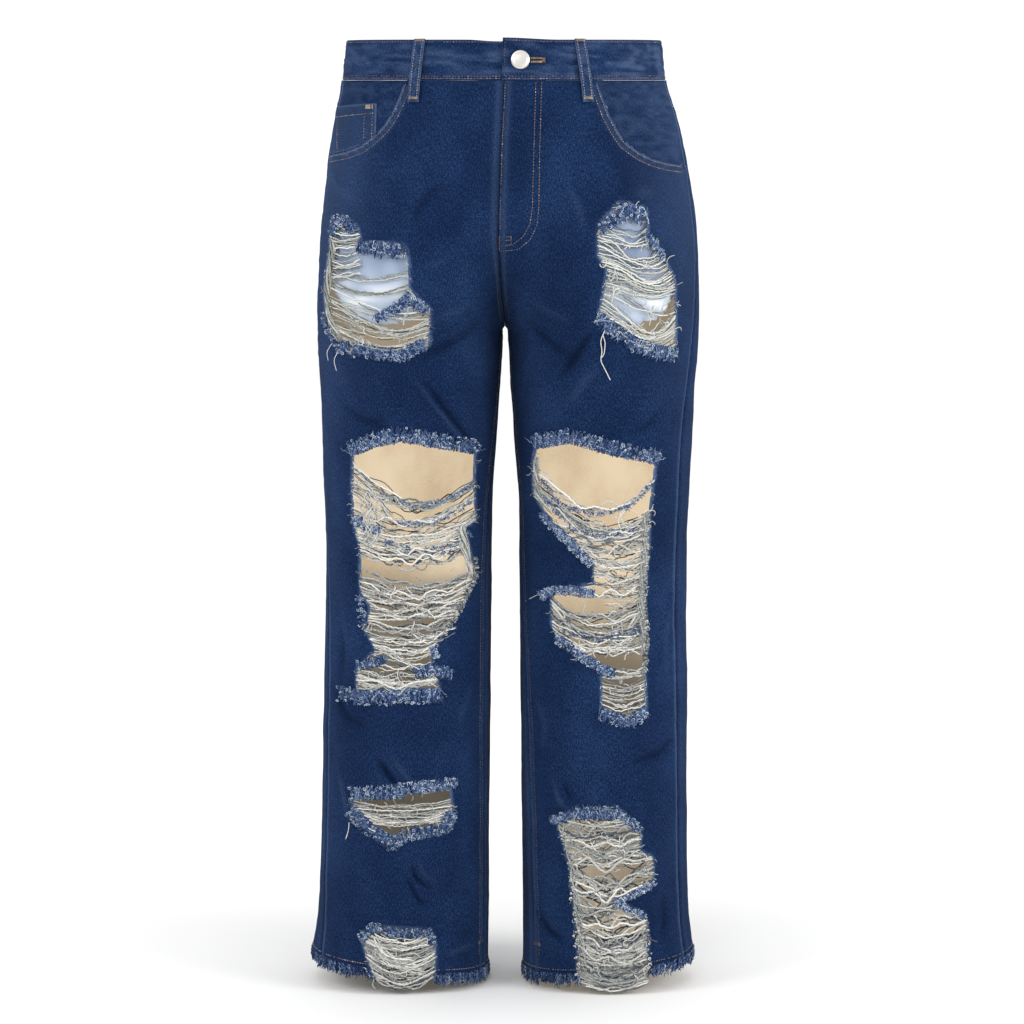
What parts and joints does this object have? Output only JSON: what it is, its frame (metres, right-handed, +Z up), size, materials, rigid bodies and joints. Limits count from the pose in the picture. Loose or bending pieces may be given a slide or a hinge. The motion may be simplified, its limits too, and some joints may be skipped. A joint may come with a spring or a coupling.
{
  "type": "ripped jeans",
  "caption": "Wide straight-legged indigo jeans with torn thighs, knees, shins and hems, filled out as if worn, hollow from waist to raw hems.",
  "frame": {"origin": "centre of the waist opening at the middle height of the waistband", "axes": "+Z up out of the waist, the front faces -Y, the wearer's left is at +X"},
  "size_m": [0.418, 0.282, 1.0193],
  "materials": {
    "denim": "indigo twill denim with a pale undyed reverse",
    "pocket_cotton": "thin pale blue-white plain cotton",
    "frayed_yarn": "loose frayed indigo and undyed yarns",
    "undyed_thread": "undyed cotton weft threads bared in the rips",
    "stitching": "faded tan sewing thread",
    "zip_tape": "navy woven tape",
    "button_metal": "satin silver-white metal"
  },
  "bodies": {
    "root": {"front_left": "denim", "front_right": "denim", "back_left": "denim", "back_right": "denim", "yoke_left": "denim", "yoke_right": "denim", "pocket_facing_left": "denim", "pocket_facing_right": "denim", "coin_pocket": "denim", "pocket_bag_left": "pocket_cotton", "pocket_bag_right": "pocket_cotton", "fly_facing": "denim", "fly_shield": "denim", "zip": "zip_tape", "waistband": "denim", "button": "button_metal", "belt_loop_front_left": "denim", "belt_loop_front_right": "denim", "belt_loop_back_left": "denim", "belt_loop_back_right": "denim", "belt_loop_back": "denim", "back_pocket_left": "denim", "back_pocket_right": "denim", "hem_fringe_left": "frayed_yarn", "hem_fringe_right": "frayed_yarn"}
  },
  "joints": []
}
